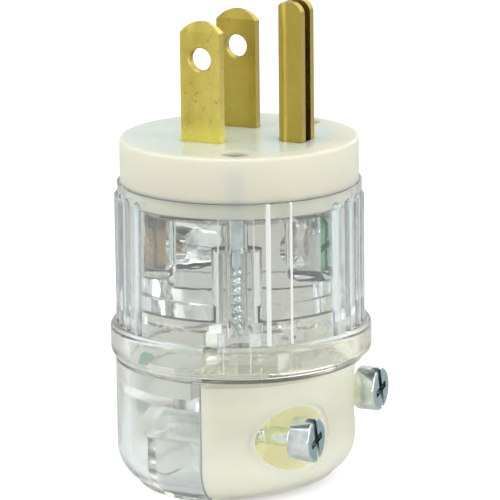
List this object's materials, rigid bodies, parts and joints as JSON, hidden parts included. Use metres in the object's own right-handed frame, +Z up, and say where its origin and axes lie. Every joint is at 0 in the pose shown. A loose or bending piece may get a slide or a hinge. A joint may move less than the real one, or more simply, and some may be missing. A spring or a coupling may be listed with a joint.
{
  "type": "hospital grade plug",
  "caption": "Straight three-pin mains plug with flat brass blades, a folded ground pin, a clear shell and a two-part cord clamp.",
  "frame": {"origin": "centre of the round shell, in the plane of the cord clamp's bottom face", "axes": "+Z up the shell to the blades, +X to the ground pin and the loose clamp jaw, so the line blade is on the -Y side"},
  "size_m": [0.0392, 0.0392, 0.073],
  "materials": {
    "face_nylon": "translucent natural nylon, satin",
    "jaw_nylon": "translucent natural nylon, satin",
    "clear_shell": "clear moulded polycarbonate, polished",
    "clear_block": "clear moulded polycarbonate, polished",
    "blade_brass": "stamped, lightly tarnished",
    "screw_brass": "turned",
    "screw_nickel": "nickel plated",
    "screw_zinc": "bright zinc plated",
    "screw_green": "green lacquer",
    "dot_green": "printed, gloss"
  },
  "bodies": {
    "plug_body": {"face": "face_nylon", "line_blade": "blade_brass", "neutral_blade": "blade_brass", "ground_pin": "blade_brass", "terminal_body": "clear_block", "line_terminal_screw": "screw_brass", "line_pressure_plate": "screw_brass", "neutral_terminal_screw": "screw_nickel", "neutral_pressure_plate": "screw_nickel", "ground_terminal_screw": "screw_green", "ground_pressure_plate": "screw_zinc", "housing": "clear_shell", "front_clamp_screw": "screw_zinc", "rear_clamp_screw": "screw_zinc", "front_assembly_screw": "screw_zinc", "rear_assembly_screw": "screw_zinc", "green_dot": "dot_green"},
    "cord_clamp": {"clamp_jaw": "jaw_nylon"}
  },
  "joints": [
    {"name": "clamp_slide", "type": "slide", "parent": "plug_body", "child": "cord_clamp", "axis": [1, 0, 0], "range_m": [0, 0.0058]}
  ]
}
